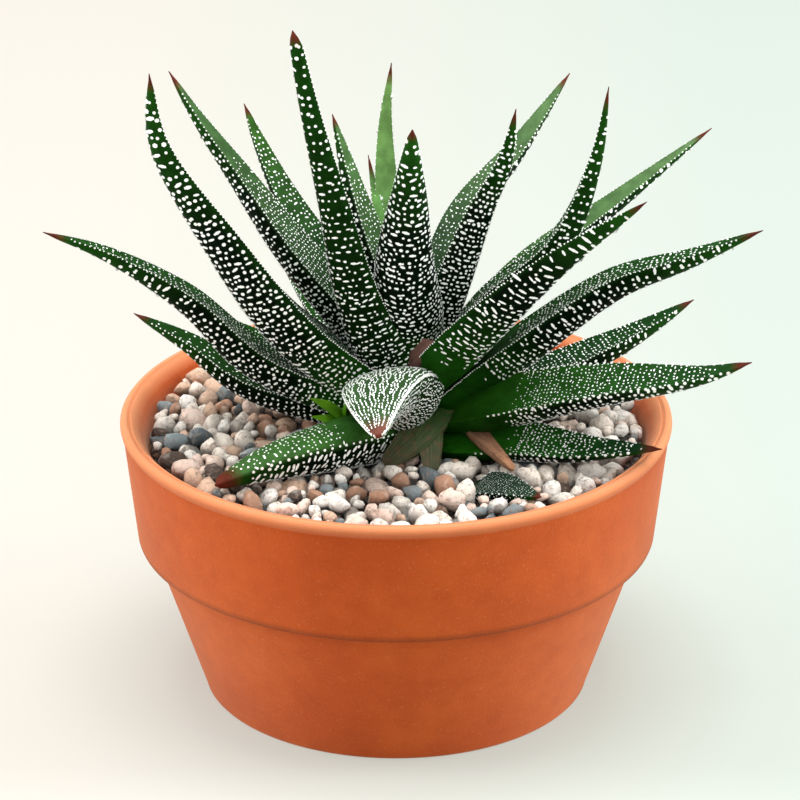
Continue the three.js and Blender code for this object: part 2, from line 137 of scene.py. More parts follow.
def terracottaShading(tree, place):
    look = terracottaLook
    # Turning lines run round the pot, so their noise is stretched flat
    flat = addNode(tree, "Mapping", {"Vector": place, "Scale": (0.02, 0.02, 1.0)})
    cloud = addNode(tree, "TexNoise", {
        "Vector": place, "Scale": perMetre(look["cloud"]), "Detail": 3.0})
    mottle = addNode(tree, "TexNoise", {
        "Vector": place, "Scale": perMetre(look["mottle"]), "Detail": 4.0, "Roughness": 0.6})
    grit = addNode(tree, "TexNoise", {
        "Vector": place, "Scale": perMetre(look["grit"]), "Detail": 2.0})
    turning = addNode(tree, "TexNoise", {
        "Vector": flat, "Scale": perMetre(look["turning"]), "Detail": 2.0})
    height = addNode(tree, "SeparateXYZ", {0: place}).outputs["Z"]
    fromSeam = addNode(tree, "Math", {0: height, 1: look["seam"]}, operation="SUBTRACT")
    seamGap = addNode(tree, "Math", {0: fromSeam}, operation="ABSOLUTE")
    color = layTones(
        tree, look["body"], (cloud, 0.35, 0.68, 1.0, look["pale"]),
        (mottle, 0.4, 0.75, 0.45, look["deep"]), (grit, 0.6, 0.8, 0.22, look["bloomAndPaintedHighlight"]),
        # The lip is painted paler here as a painted highlight of the top light
        (height, look["lipFrom"], look["lipTo"], 0.75, look["bloomAndPaintedHighlight"]),
        # The crease under the collar is darkened here as painted shade
        (seamGap, look["seamReach"], 0.0, look["seamShadeShare"], look["seamShadeTone"]))
    relief = addNode(tree, "Math", {0: grit, 1: turning}, operation="ADD")
    bump = addNode(tree, "Bump", {"Height": relief, "Strength": 0.35, "Distance": 0.00025})
    return {
        "Base Color": color, "Roughness": 0.8, "Specular IOR Level": 0.08, "Normal": bump,
        "Sheen Weight": look["sheen"], "Sheen Tint": look["sheenTint"], "Sheen Roughness": 0.5}


# Potting soil: peat and bark with grit, watered and settled. The eye sees dark crumbs.
def soilShading(tree, place):
    crumb = addNode(tree, "TexVoronoi", {"Vector": place, "Scale": perMetre(2.2)})
    color = addNode(tree, "Mix", {0: crumb, 6: "#4a3626", 7: "#1d140d"}, data_type="RGBA")
    bump = addNode(tree, "Bump", {"Height": crumb, "Strength": 0.9, "Distance": 0.0008})
    return {"Base Color": color.outputs[2], "Roughness": 0.95, "Normal": bump}


# Stem: a short stalk ringed by the scars of old leaves. The eye sees dull brown-green cork.
def stemShading(tree, place):
    flat = addNode(tree, "Mapping", {"Vector": place, "Scale": (0.15, 0.15, 1.0)})
    scar = addNode(tree, "TexNoise", {"Vector": flat, "Scale": perMetre(1.8), "Detail": 3.0})
    color = addNode(tree, "Mix", {0: scar, 6: "#3d2f1f", 7: "#6c6a44"}, data_type="RGBA")
    bump = addNode(tree, "Bump", {"Height": scar, "Strength": 0.7, "Distance": 0.0005})
    return {"Base Color": color.outputs[2], "Roughness": 0.8, "Normal": bump}


# Gravel: limestone, quartz and slate pebbles tumbled smooth. The eye sees dull rounded stones,
# each in its own shade with small freckles.
def gravelShading(tree, place):
    # The stones' colours carry painted shade in the crevices and under each pebble
    shade = addNode(tree, "Attribute", attribute_name="stoneColor")
    freckle = addNode(tree, "TexNoise", {
        "Vector": place, "Scale": perMetre(0.9), "Detail": 5.0, "Roughness": 0.7})
    vein = addNode(tree, "TexNoise", {
        "Vector": place, "Scale": perMetre(2.6), "Detail": 3.0, "Distortion": 0.6})
    color = layTones(tree, shade, (freckle, 0.52, 0.64, 0.7, "#967c6b"),
                     (vein, 0.55, 0.75, 0.4, "#f3eadf"))
    bump = addNode(tree, "Bump", {"Height": freckle, "Strength": 0.9, "Distance": 0.0008})
    return {"Base Color": color, "Roughness": 0.72, "Specular IOR Level": 0.4, "Normal": bump}


# Leaf skin: a living succulent leaf with a firm wax-coated skin. The eye sees a deep green with
# a soft sheen that drifts in tone, drying to red-brown at the tip.
def leafShading(tree, place):
    tone = addNode(tree, "Attribute", attribute_name="skinColor")
    dryness = addNode(tree, "Attribute", attribute_name="dryness").outputs["Fac"]
    mottle = addNode(tree, "TexNoise", {
        "Vector": place, "Scale": perMetre(3.5), "Detail": 4.0, "Roughness": 0.6})
    grain = addNode(tree, "TexNoise", {"Vector": place, "Scale": perMetre(0.5), "Detail": 3.0})
    drift = addNode(tree, "MapRange", {
        "Value": mottle, "From Min": 0.35, "From Max": 0.7, "To Min": 0.72, "To Max": 1.25})
    toned = addNode(tree, "VectorMath", {0: tone, "Scale": drift}, operation="SCALE")
    # The dry tip starts along a ragged line
    ragged = addNode(tree, "Math", {0: grain, 1: 0.5, 2: dryness}, operation="MULTIPLY_ADD")
    husk = addNode(tree, "Mix", {0: mottle, 6: "#32120c", 7: "#6e3426"}, data_type="RGBA")
    skin = layTones(tree, toned, (ragged, 0.55, 0.9, 1.0, husk.outputs[2]))
    bump = addNode(tree, "Bump", {"Height": grain, "Strength": 0.2, "Distance": 0.0002})
    return {"Base Color": skin, "Roughness": 0.45, "Specular IOR Level": 0.02, "Normal": bump}


# Tubercles: hard pearly warts of the leaf skin, filled with air. The eye sees bright white beads.
def tubercleShading(tree, place):
    dryness = addNode(tree, "Attribute", attribute_name="dryness").outputs["Fac"]
    drift = addNode(tree, "TexNoise", {"Vector": place, "Scale": perMetre(4)})
    pearl = addNode(tree, "Mix", {0: drift, 6: "#ffffff", 7: "#f1f6ee"}, data_type="RGBA")
    aged = addNode(tree, "Mix", {0: dryness, 6: pearl.outputs[2], 7: "#c99a86"}, data_type="RGBA")
    # Painted glow: a little emission keeps the beads bright where they fall in shade
    return {
        "Base Color": aged.outputs[2], "Roughness": 0.5, "Specular IOR Level": 0.4,
        "Emission Color": aged.outputs[2], "Emission Strength": 0.06}


# Dried leaf: old leaves and a cut stalk that withered on the plant. The eye sees papery
# brown with long wrinkles.
def driedShading(tree, place):
    laid = addNode(tree, "UVMap", uv_map="laid")
    tone = addNode(tree, "Attribute", attribute_name="skinColor")
    # The wrinkles run the length of the husk, a fortieth of its girth apart
    along = addNode(tree, "Mapping", {"Vector": laid, "Scale": (40, 4, 1)})
    wrinkle = addNode(tree, "TexNoise", {"Vector": along, "Scale": 1.0, "Detail": 3.0})
    fleck = addNode(tree, "TexNoise", {"Vector": place, "Scale": perMetre(1.5), "Detail": 4.0})
    streak = addNode(tree, "MapRange", {
        "Value": wrinkle, "From Min": 0.4, "From Max": 0.65, "To Min": 0.78, "To Max": 1.18})
    streaked = addNode(tree, "VectorMath", {0: tone, "Scale": streak}, operation="SCALE")
    color = layTones(tree, streaked, (fleck, 0.5, 0.7, 0.6, "#6a4634"))
    bump = addNode(tree, "Bump", {"Height": wrinkle, "Strength": 0.8, "Distance": 0.0005})
    return {"Base Color": color, "Roughness": 0.75, "Normal": bump}


terracotta = makeMaterial("unglazedTerracotta", terracottaShading)
pottingSoil = makeMaterial("crumbledPottingSoil", soilShading)
scarredStem = makeMaterial("scarredStem", stemShading)
gravelStone = makeMaterial("tumbledGravel", gravelShading)
leafSkin = makeMaterial("waxyLeafSkin", leafShading)
tubercleWhite = makeMaterial("pearlyTubercle", tubercleShading)
driedHusk = makeMaterial("witheredLeafHusk", driedShading)
print("materials made")


def selectOnly(piece=None):
    if bpy.context.object and bpy.context.object.mode == "EDIT":
        ops.object.mode_set(mode="OBJECT")
    ops.object.select_all(action="DESELECT")
    if piece:
        piece.select_set(True)
        bpy.context.view_layer.objects.active = piece


def startEditing():
    ops.object.mode_set(mode="EDIT")
    ops.mesh.select_all(action="SELECT")


def endEditing():
    # The faces are turned outwards on the way out
    ops.mesh.select_all(action="SELECT")
    ops.mesh.normals_make_consistent(inside=False)
    ops.object.mode_set(mode="OBJECT")


def raiseRing(height, share=None):
    # Draws the selected face up by so many metres and scales it to a share of its size
    ops.mesh.extrude_region_move(TRANSFORM_OT_translate={"value": (0, 0, height)})
    if share is not None:
        ops.transform.resize(value=(share, share, 1), center_override=(0, 0, 0))


def startRing(name, sides, radius, height=0):
    # A filled ring from which a piece is drawn up
    selectOnly()
    ops.mesh.primitive_circle_add(
        vertices=sides, radius=radius, fill_type="NGON", location=(0, 0, height))
    piece = bpy.context.object
    piece.name = name
    startEditing()
    return piece


def newObject(name, mesh):
    piece = bpy.data.objects.new(name, mesh)
    bpy.context.scene.collection.objects.link(piece)
    return piece


def joinInto(piece, others):
    selectOnly(piece)
    for other in others:
        other.select_set(True)
    if others:
        ops.object.join()
    return piece


def finishPiece(piece, name, node, smoothTo=75):
    # Edges that turn by fewer degrees than smoothTo are shaded round
    ops.object.shade_smooth_by_angle(angle=math.radians(smoothTo))
    piece.name = name
    piece.data.name = name
    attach(piece, "root")
    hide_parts(node)


pot = {
    "sides": 128,
    "firstRing": 41.2,     # mm, the flat that the pot stands on
    # radius and height of each ring, up the outside, over the lip and down the inside
    "rings": [
        (41.9, 0.15), (42.3, 0.6), (42.5, 1.4), (46.5, 13.4), (50.5, 25.4), (53.4, 33.9),
        (52.9, 34.25), (52.7, 35.6), (54.4, 35.7), (55.2, 35.05), (55.9, 35.0), (56.4, 35.2),
        (56.6, 35.7), (57.9, 47.0), (59.3, 59.3), (59.32, 59.9), (59.3, 60.2), (59.5, 60.5),
        (59.85, 61.0), (59.99, 61.6), (59.9, 62.2), (59.5, 62.7), (58.95, 62.97), (58.5, 62.9),
        (58.2, 62.55), (57.9, 62.5), (57.6, 62.75), (57.2, 62.6), (56.5, 61.9), (55.4, 60.3),
        (54.3, 58.0), (53.95, 52.0), (46.2, 29.0), (39.0, 7.4), (38.2, 6.4), (37.0, 6.0),
    ],
    "drainHoles": 3, "drainRadius": 4.5, "drainCircle": 21, "floor": 6,
    "drainTurn": 0.25,     # the first hole's place, as a share of the step between two
}


def modelPot():
    piece = startRing("terracottaPot", pot["sides"], pot["firstRing"] * mm)
    radius, height = pot["firstRing"], 0
    for nextRadius, nextHeight in pot["rings"]:
        raiseRing((nextHeight - height) * mm, nextRadius / radius)
        radius, height = nextRadius, nextHeight
    endEditing()
    for i in range(pot["drainHoles"]):
        angle = (i + pot["drainTurn"]) * 2 * math.pi / pot["drainHoles"]
        selectOnly()
        ops.mesh.primitive_cylinder_add(
            vertices=32, radius=pot["drainRadius"] * mm, depth=3 * pot["floor"] * mm,
            location=(pot["drainCircle"] * math.cos(angle) * mm,
                      pot["drainCircle"] * math.sin(angle) * mm, pot["floor"] / 2 * mm))
        drill = bpy.context.object
        selectOnly(piece)
        cut = piece.modifiers.new("drainHole", "BOOLEAN")
        cut.operation = "DIFFERENCE"
        cut.object = drill
        ops.object.modifier_apply(modifier=cut.name)
        bpy.data.objects.remove(drill)
    piece.data.materials.append(terracotta)
    finishPiece(piece, "terracottaPot", "pot", smoothTo=40)


def dressNode(name, material):
    # A hidden piece keeps its own form and gets its material only
    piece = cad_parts[name]
    piece.data.materials.clear()
    piece.data.materials.append(material)


modelPot()
dressNode("soil", pottingSoil)
dressNode("stem", scarredStem)
print("pot modelled, soil and stem dressed")


stemX, stemY = 3.5, -7        # mm, where the leaves spring from

# How the blank leaf is divided
blank = {"around": 28, "rings": 56}

# How every leaf is shaped. t is the share of the leaf's length.
form = {
    "broadest": 0.18,               # t
    "rounding": 0.04,               # share of the length over which the tip rounds off
    "keel": 1.22,                   # above 1 draws the outer face towards a keel
    "inside": 0.35,                 # share of the depth on the inner side of the curve
}

# What every leaf has, unless its own entry says otherwise
habit = {
    "roll": 0,                      # degrees about its own length
    "taper": 1.5,                   # higher keeps the leaf broad for longer
    "waist": 0.62,                  # share of the breadth that the base has
    "blunt": 0.05,                  # share of the breadth kept at the tip
    "crown": -0.06,                 # rise of the inner face, as a share of the depth
    "outer": ("#1c5010", "#031003", "#1c4c10"),  # skin at the base, middle and tip
    "paleTo": 0.06,                 # t up to which the outer skin has the base's tone
    "darkFrom": 0.2,                # t where the outer skin has turned dark
    "greenFrom": 0.6,               # t where it starts to turn green again
    "greenEdge": 3,                 # lower lets the green reach further in from the margins
    "inner": ("#153e0e", "#1b4214"),  # skin at the base and further out, and at the tip if named
    "innerStops": (0, 0.87, 0.95),  # t of those tones
    "dry": 0.91,                    # t where the brown tip starts
    "dotsFrom": 0.07,               # t where the first rows of tubercles start
    "rows": (1.15, 1.55, 2.1),      # mm between crosswise rows at the base, middle and tip
    "space": (0.46, 0.85),          # mm between tubercles in a row, base and tip
    "bead": (0.54, 0.92),           # mm, their diameter, base and tip
    "dashes": (0.3, 0.2),           # share of them that are long, base and tip
    "dashLength": (1.5, 2.8),       # times as long as they are broad, shortest and longest
    "dashTurn": 0,                  # degrees that the rows' beads are turned by
    "innerDots": None,              # (t from, t to, row pitch, diameter) on the inner face
    "innerDashes": 0.12,            # share of those that are long
    "lines": None,                  # (number, diameter) of lengthwise lines on the inner face
    "margin": (0.06, 0.62, 0.32),   # t from, pitch, diameter of the beads on both margins
    "marginRows": (0,),             # radians in from the margin of each row of those beads
    "shore": 0.36,                  # how far round it the pebbles keep low, in diameters
}

# The low leaves at the back are much alike
backLeaf = {"breadth": 9, "depth": 6.5, "innerDots": (0.2, 0.95, 1.5, 0.5)}

leaves = {
    "leaf_front_tall": {"breadth": 15, "depth": 8.5, "taper": 0.7, "blunt": 0.2, "waist": 0.98,
        "darkFrom": 0.12, "innerDots": (0.1, 0.7, 1.3, 0.38), "greenFrom": 0.3, "greenEdge": 1.1,
        "outer": ("#1c5010", "#051b03", "#153e0c"), "rows": (1.0, 1.7, 2.3), "space": (0.38, 1.05),
        "bead": (0.46, 0.78), "dashes": (0.6, 0.08), "dotsFrom": 0.03, "dry": 0.95,
        "route": [[1, -11, 74], [-8, -17, 96], [-13.3, -21, 120], [-18, -24, 142],
                  [-21.1, -25, 159]]},
    "leaf_front_mid": {"breadth": 14.5, "depth": 8, "waist": 0.8, "blunt": 0.08,
        "innerDots": (0.1, 0.7, 1.3, 0.38), "dashes": (0.5, 0.25), "dry": 0.94,
        "rows": (1.0, 1.4, 1.8), "space": (0.38, 0.8), "bead": (0.48, 0.86),
        "route": [[4, -11, 80], [1.8, -20, 104], [2.7, -25, 122], [3.4, -30, 139.3]]},
    "leaf_front_facing": {"breadth": 20, "depth": 8.5, "taper": 1.9, "crown": 0.4, "roll": 14,
        "blunt": 0.1, "dry": 0.97, "outer": ("#235a14", "#0f2a0c", "#25481e"),
        "inner": ("#22401c", "#36522e", "#6e443a"), "rows": (0.8, 0.85, 0.9),
        "space": (0.32, 0.32), "bead": (0.36, 0.42), "dashes": (0.85, 0.75), "dashTurn": 65,
        "lines": (23, 0.42), "margin": (0.03, 0.36, 0.4), "marginRows": (0, 0.1),
        "route": [[3.5, -11, 67], [-1.5, -24, 77], [-3.4, -37, 80.2], [-3.5, -52, 80]]},
    "leaf_front_left_low": {"breadth": 13.5, "depth": 8, "crown": 0.35, "taper": 1.9, "blunt": 0.2,
        "roll": 5, "inner": ("#255614", "#3c6030"), "innerDots": (0.4, 0.93, 1.1, 0.44),
        "dry": 0.83, "darkFrom": 0.28, "dotsFrom": 0.12, "rows": (0.95, 1.15, 1.4),
        "bead": (0.56, 0.8), "space": (0.38, 0.7), "dashes": (0.6, 0.55), "dashTurn": 18,
        "dashLength": (1.8, 3.2), "margin": (0.1, 1.15, 0.6),
        "route": [[0, -10, 62], [-10, -21, 64.5], [-26, -31, 64.6], [-38, -38, 62.7]]},
    "leaf_front_right_low": {"breadth": 12, "depth": 6, "roll": 20, "taper": 1.7,
        "inner": ("#276c10", "#15341a"), "innerDots": (0.36, 0.95, 0.85, 0.42), "dry": 0.87,
        "darkFrom": 0.5, "dotsFrom": 0.32, "margin": (0.25, 1.1, 0.55),
        "route": [[7, -10, 60.3], [25, -17, 63.2], [39, -23, 64.2], [56.3, -28, 66.6]]},
    "leaf_right_broad": {"breadth": 13.5, "depth": 8, "roll": 20, "taper": 1.9,
        "inner": ("#1f500a", "#1c3f1a"), "innerDots": (0.3, 0.93, 0.92, 0.37), "darkFrom": 0.42,
        "dotsFrom": 0.26, "margin": (0.24, 1.15, 0.58),
        "route": [[7, -9, 65], [22, -16, 71.5], [43, -25, 79.5], [64, -33, 85.6], [74, -36, 90]]},
    "leaf_right_front_raised": {"breadth": 14.5, "depth": 8.5, "roll": 2, "taper": 1.7,
        "waist": 0.8, "darkFrom": 0.45, "dotsFrom": 0.19, "rows": (1.3, 1.7, 2.1),
        "dashes": (0.6, 0.55), "dashLength": (1.8, 3.6), "space": (0.55, 0.85),
        "bead": (0.52, 0.95), "innerDots": (0.3, 0.95, 1.3, 0.45),
        "route": [[6, -10, 74.5], [16.3, -20, 90.6], [33.5, -32, 111.7], [51, -43, 128.5]]},
    "leaf_left_front_tall": {"breadth": 18, "depth": 10, "taper": 1.7, "waist": 0.95,
        "darkFrom": 0.26, "dotsFrom": 0.06, "rows": (1.2, 1.5, 2.0), "space": (0.52, 0.7),
        "bead": (0.54, 1.05), "dashes": (0.3, 0.3), "greenEdge": 1.1,
        "innerDots": (0.1, 0.7, 1.3, 0.4), "dry": 0.94,
        "route": [[-1, -9, 71], [-21, -14, 88.5], [-37, -19, 112.5], [-48.8, -23, 134],
                  [-50.5, -26, 150]]},
    "leaf_left_long": {"breadth": 13, "depth": 8, "waist": 0.9, "darkFrom": 0.26,
        "innerDots": (0.15, 0.93, 1.05, 0.4),
        "route": [[-1, -8, 67], [-29, -9, 79.2], [-44, -12, 94.5], [-61, -15, 106],
                  [-74, -18, 112]]},
    "leaf_left_low": {"breadth": 12.2, "depth": 7, "taper": 1.9, "rows": (1.2, 1.7, 2.0),
        "bead": (0.46, 0.72), "inner": ("#0f300a", "#173a10"), "innerDots": (0.3, 0.93, 1.4, 0.4),
        "route": [[0, -6, 64], [-32, 0, 70], [-45, 4, 77.5], [-57, 8, 82.8]]},
    "leaf_left_back_tall": {"breadth": 11.5, "depth": 8, "taper": 1.4, "waist": 0.95,
        "inner": ("#143018", "#3e5c34"), "innerDots": (0.1, 0.72, 0.85, 0.34),
        "rows": (1.0, 1.4, 1.9), "bead": (0.5, 0.8), "space": (0.4, 0.7),
        "route": [[0, -6, 76], [-22.6, -2, 102.5], [-32.6, 3, 115.5], [-42.4, 7, 128.6],
                  [-48.4, 10, 137.8]]},
    "leaf_back_left": {"breadth": 10.5, "depth": 6, "inner": ("#163424", "#2f5320"),
        "innerDots": (0.1, 0.9, 1.0, 0.42),
        "route": [[-2, -3, 78], [-22.5, 10, 106], [-29.8, 18, 119], [-33, 25, 125]]},
    "leaf_centre_left": {"breadth": 9, "depth": 7, "inner": ("#143018", "#486a3b"),
        "innerDots": (0.15, 0.82, 0.95, 0.34),
        "route": [[2, -6, 84], [-7, -5, 109], [-10.5, -2, 121], [-13.5, 2, 131]]},
    "leaf_centre_back": {"breadth": 7, "depth": 4, "dry": 0.88, "inner": ("#4f7943", "#6d9452"),
        "margin": (0.06, 0.95, 0.28),
        "route": [[3, -4, 84], [-1.6, 6, 106], [-2.4, 13, 124], [-1, 17, 137.2]]},
    "leaf_young": {"breadth": 4.5, "depth": 3, "dry": 0.8, "inner": ("#46733c", "#5f8a4a"),
        "route": [[2.5, -6, 85], [-2, -1, 97], [-4, 5, 108], [-6, 12, 118]]},
    "leaf_centre_right": {"breadth": 9.3, "depth": 7, "taper": 1.8, "bead": (0.52, 0.72),
        "rows": (1.0, 1.15, 1.3), "space": (0.36, 0.5), "inner": ("#15321a", "#33522b"),
        "innerDots": (0.1, 0.93, 0.85, 0.38),
        "route": [[6, -7, 80], [12, -10, 99], [17.5, -12, 115], [22.5, -13, 126], [25, -14, 138]]},
    "leaf_back_right_tall": {"breadth": 10.5, "depth": 6, "inner": ("#173222", "#506d44"),
        "innerDots": (0.1, 0.74, 0.95, 0.34),
        "route": [[6, -4, 78], [14.5, 7, 104.5], [26.7, 18, 117.6], [37.7, 27, 131.3]]},
    "leaf_right_upturned": {"breadth": 9, "depth": 8, "taper": 1.3, "greenFrom": 0.45,
        "bead": (0.5, 0.72), "inner": ("#143810", "#20481c"), "innerDots": (0.1, 0.7, 1.1, 0.4),
        "route": [[8, -7, 72], [18.5, -8, 90.5], [34.5, -11, 107.8], [41.5, -12, 126],
                  [44.3, -12, 142.2]]},
    "leaf_right_back_raised": {"breadth": 10, "depth": 6, "inner": ("#26501e", "#557348"),
        "innerDots": (0.12, 0.56, 0.95, 0.34),
        "route": [[7, -4, 70], [28, 8, 92.5], [49, 20, 105], [69, 30, 117.5]]},
    "leaf_right_long": {"breadth": 12, "depth": 8, "taper": 1.8, "inner": ("#143a0e", "#1b4218"),
        "innerDots": (0.28, 0.93, 1.0, 0.44), "darkFrom": 0.36, "dotsFrom": 0.18,
        "dashes": (0.5, 0.45), "dashLength": (1.7, 3.0), "bead": (0.5, 0.86),
        "route": [[8, -7, 67], [27, -9, 83], [46, -12, 98], [62, -15, 105], [77, -17, 112]]},
    "leaf_right_low": {"breadth": 12.3, "depth": 7.5, "taper": 1.9,
        "inner": ("#0e2f0c", "#163a16"), "innerDots": (0.12, 0.9, 0.9, 0.36), "innerDashes": 0.5,
        "bead": (0.5, 0.8),
        "route": [[8, -6, 63], [31, -2, 71.6], [51.3, 4, 79.4], [64.7, 9, 85.6]]},
    "leaf_buried": {"breadth": 10, "depth": 6, "roll": 14, "inner": ("#1d3022", "#2a3c2e"),
        "innerDots": (0.05, 0.95, 0.55, 0.16), "dry": 0.86, "margin": (0.05, 1.0, 0.4),
        "rows": (0.8, 0.8, 0.8), "bead": (0.24, 0.3), "space": (0.5, 0.5), "shore": 0.24,
        "route": [[16, -28, 56.5], [22, -33, 59.3], [30.5, -39.5, 60.8]]},
    "leaf_back_low_left": {**backLeaf, "route": [[0, -5, 66], [-18, 8, 70], [-38, 20, 77]]},
    "leaf_back_low_mid_left": {**backLeaf, "breadth": 12, "innerDots": (0.2, 0.95, 1.1, 0.42),
        "route": [[0, -3, 70], [-13, 15, 76], [-24.5, 34, 82.2]]},
    "leaf_back_low_middle": {**backLeaf, "route": [[4, -2, 65], [4, 20, 71], [3, 43, 80]]},
    "leaf_back_low_right": {**backLeaf, "route": [[6, -3, 68], [18, 14, 75], [30, 33, 83]]},
}


def unit(vectors):
    return vectors / np.linalg.norm(vectors, axis=-1, keepdims=True)


def curveThrough(route):
    # A centripetal Catmull-Rom curve through the points, as (share of length, points, tangents)
    points = np.array(route, float)
    ends = np.vstack([2 * points[0] - points[1], points, 2 * points[-1] - points[-2]])
    laid = []
    for p0, p1, p2, p3 in zip(ends, ends[1:], ends[2:], ends[3:]):
        d0, d1, d2 = (math.sqrt(np.linalg.norm(b - a)) for a, b in ((p0, p1), (p1, p2), (p2, p3)))
        leave = ((p1 - p0) / d0 - (p2 - p0) / (d0 + d1) + (p2 - p1) / d1) * d1
        arrive = ((p2 - p1) / d1 - (p3 - p1) / (d1 + d2) + (p3 - p2) / d2) * d1
        w = np.linspace(0, 1, 60)[:, None]
        laid.append(p1 + leave * w + (3 * (p2 - p1) - 2 * leave - arrive) * w ** 2
                    + (2 * (p1 - p2) + leave + arrive) * w ** 3)
    dense = np.vstack([laid[0]] + [span[1:] for span in laid[1:]])
    steps = np.linalg.norm(np.diff(dense, axis=0), axis=1)
    reach = np.concatenate([[0], np.cumsum(steps)])
    return reach, dense, unit(np.gradient(dense, reach, axis=0))


def growLeaf(entry):
    leaf = {**habit, **entry}
    leaf["curve"] = curveThrough(leaf["route"])
    return leaf


def breadthAt(leaf, t):
    broadest = form["broadest"]
    rising = np.clip(t / broadest, 0, 1)
    near = leaf["waist"] + (1 - leaf["waist"]) * rising * rising * (3 - 2 * rising)
    # A blunt leaf keeps some breadth to the end and rounds off there
    sharp = 1 - np.clip((t - broadest) / (1 - broadest), 0, 1) ** leaf["taper"]
    far = leaf["blunt"] + (1 - leaf["blunt"]) * sharp
    return np.where(t < broadest, near, far) * np.sqrt(np.clip((1 - t) / form["rounding"], 0, 1))


def layOn(leaf, t, angle):
    # Where a point of the leaf's skin lies, in mm. angle runs from one margin (0) over the keel
    # (a quarter turn) to the other margin (a half turn), and back over the inner face.
    reach, dense, tangents = leaf["curve"]
    s = t * reach[-1]
    centre = np.stack([np.interp(s, reach, dense[:, k]) for k in range(3)], axis=-1)
    along = unit(np.stack([np.interp(s, reach, tangents[:, k]) for k in range(3)], axis=-1))
    tip = leaf["route"][-1]
    heading = math.atan2(tip[1] - stemY, tip[0] - stemX)
    side = np.array([-math.sin(heading), math.cos(heading), 0])
    across = unit(side - (along @ side)[..., None] * along)
    turn = math.radians(leaf["roll"])
    across = across * math.cos(turn) + np.cross(along, across) * math.sin(turn)
    out = np.cross(across, along)
    share = breadthAt(leaf, t)
    half = np.maximum(0.1, share * leaf["breadth"] / 2)
    depth = np.maximum(0.16, share * leaf["depth"])
    rise = np.sin(angle)
    outShare = np.where(rise >= 0, np.abs(rise) ** form["keel"], -leaf["crown"] * np.abs(rise))
    x = half * np.cos(angle)
    y = depth * (outShare - form["inside"])
    return centre + across * x[..., None] + out * y[..., None]


def skinFrame(leaf, t, angle, step=1e-3):
    # The points, the outward normals, and the directions round the leaf
    crosswise = unit(layOn(leaf, t, angle + step) - layOn(leaf, t, angle - step))
    lengthwise = unit(layOn(leaf, np.minimum(t + step, 1), angle)
                      - layOn(leaf, np.maximum(t - step, 0), angle))
    return layOn(leaf, t, angle), unit(np.cross(crosswise, lengthwise)), crosswise


tubercle = {
    "sides": 6, "foot": -0.35, "shoulder": 0.75, "draw": 0.72, "crown": 0.36,
    "height": 0.85,      # as a share of its smaller radius
}


def modelBlankLeaf():
    # A round bar with a ring for each step along the leaf. Its x and y give the place round the
    # section, and its height the share of the length.
    piece = startRing("blankLeaf", blank["around"], 1)
    for _ in range(blank["rings"]):
        raiseRing(1 / blank["rings"])
    endEditing()
    return piece


def modelTubercle():
    # A low dome on its foot, closed below
    piece = startRing("tubercleDome", tubercle["sides"], 1, tubercle["foot"])
    raiseRing(tubercle["shoulder"], tubercle["draw"])
    ops.mesh.poke(offset=tubercle["crown"])
    endEditing()
    ops.object.transform_apply()
    return piece


blankLeaf = modelBlankLeaf()
tubercleDome = modelTubercle()
print("blank leaf and tubercle modelled")


def meshPoints(mesh):
    points = np.empty(len(mesh.vertices) * 3)
    mesh.vertices.foreach_get("co", points)
    return points.reshape(-1, 3)


def paintPoints(mesh, name, values):
    # One number or one colour for each point
    values = np.asarray(values, np.float32)
    kind, key = ("FLOAT", "value") if values.ndim == 1 else ("FLOAT_COLOR", "color")
    mesh.attributes.new(name, kind, "POINT").data.foreach_set(key, values.ravel())


def blendColors(tones, stops, t):
    shades = np.array([linearColor(text) for text in tones])
    return np.stack([np.interp(t, stops, shades[:, k]) for k in range(4)], axis=-1)


def skinColors(leaf, t, angle):
    # The inner face is greener than the outer one, and they meet at the margins
    base, middle, tip = leaf["outer"]
    outer = blendColors((base, middle, middle, tip),
                        (leaf["paleTo"], leaf["darkFrom"], leaf["greenFrom"], 1), t)
    inner = blendColors(leaf["inner"], leaf["innerStops"][:len(leaf["inner"])], t)
    share = np.clip(0.5 - np.sin(angle) * leaf["greenEdge"], 0, 1)[..., None]
    return outer + (inner - outer) * share


def paintSkin(mesh, leaf, t, angle, u, v):
    # The leaf's tones and its dry tip, and a UV map from the place on the leaf
    paintPoints(mesh, "skinColor", skinColors(leaf, t, angle))
    paintPoints(mesh, "dryness", np.clip((t - leaf["dry"]) / max(1e-3, 1 - leaf["dry"]), 0, 1))
    corners = np.empty(len(mesh.loops), np.int32)
    mesh.loops.foreach_get("vertex_index", corners)
    while mesh.uv_layers:
        mesh.uv_layers.remove(mesh.uv_layers[0])
    places = np.stack([u[corners], v[corners]], axis=-1).astype(np.float32)
    mesh.uv_layers.new(name="laid").data.foreach_set("uv", places.ravel())


# How the beads stray from an even pattern, lowest and highest
stray = {
    "size": (0.7, 1.2), "round": (0.9, 1.2),      # shares of the bead's radius
    "offset": (-0.26, 0.26),                      # shares of the pitch, along the leaf
    "turn": (-0.35, 0.35),                        # radians
    "merging": 0.14, "overlap": (-0.5, 0),        # share that run together, and by how much
    "gap": (0.5, 1.4), "pitch": (0.88, 1.12),     # shares of the space and of the pitch
}


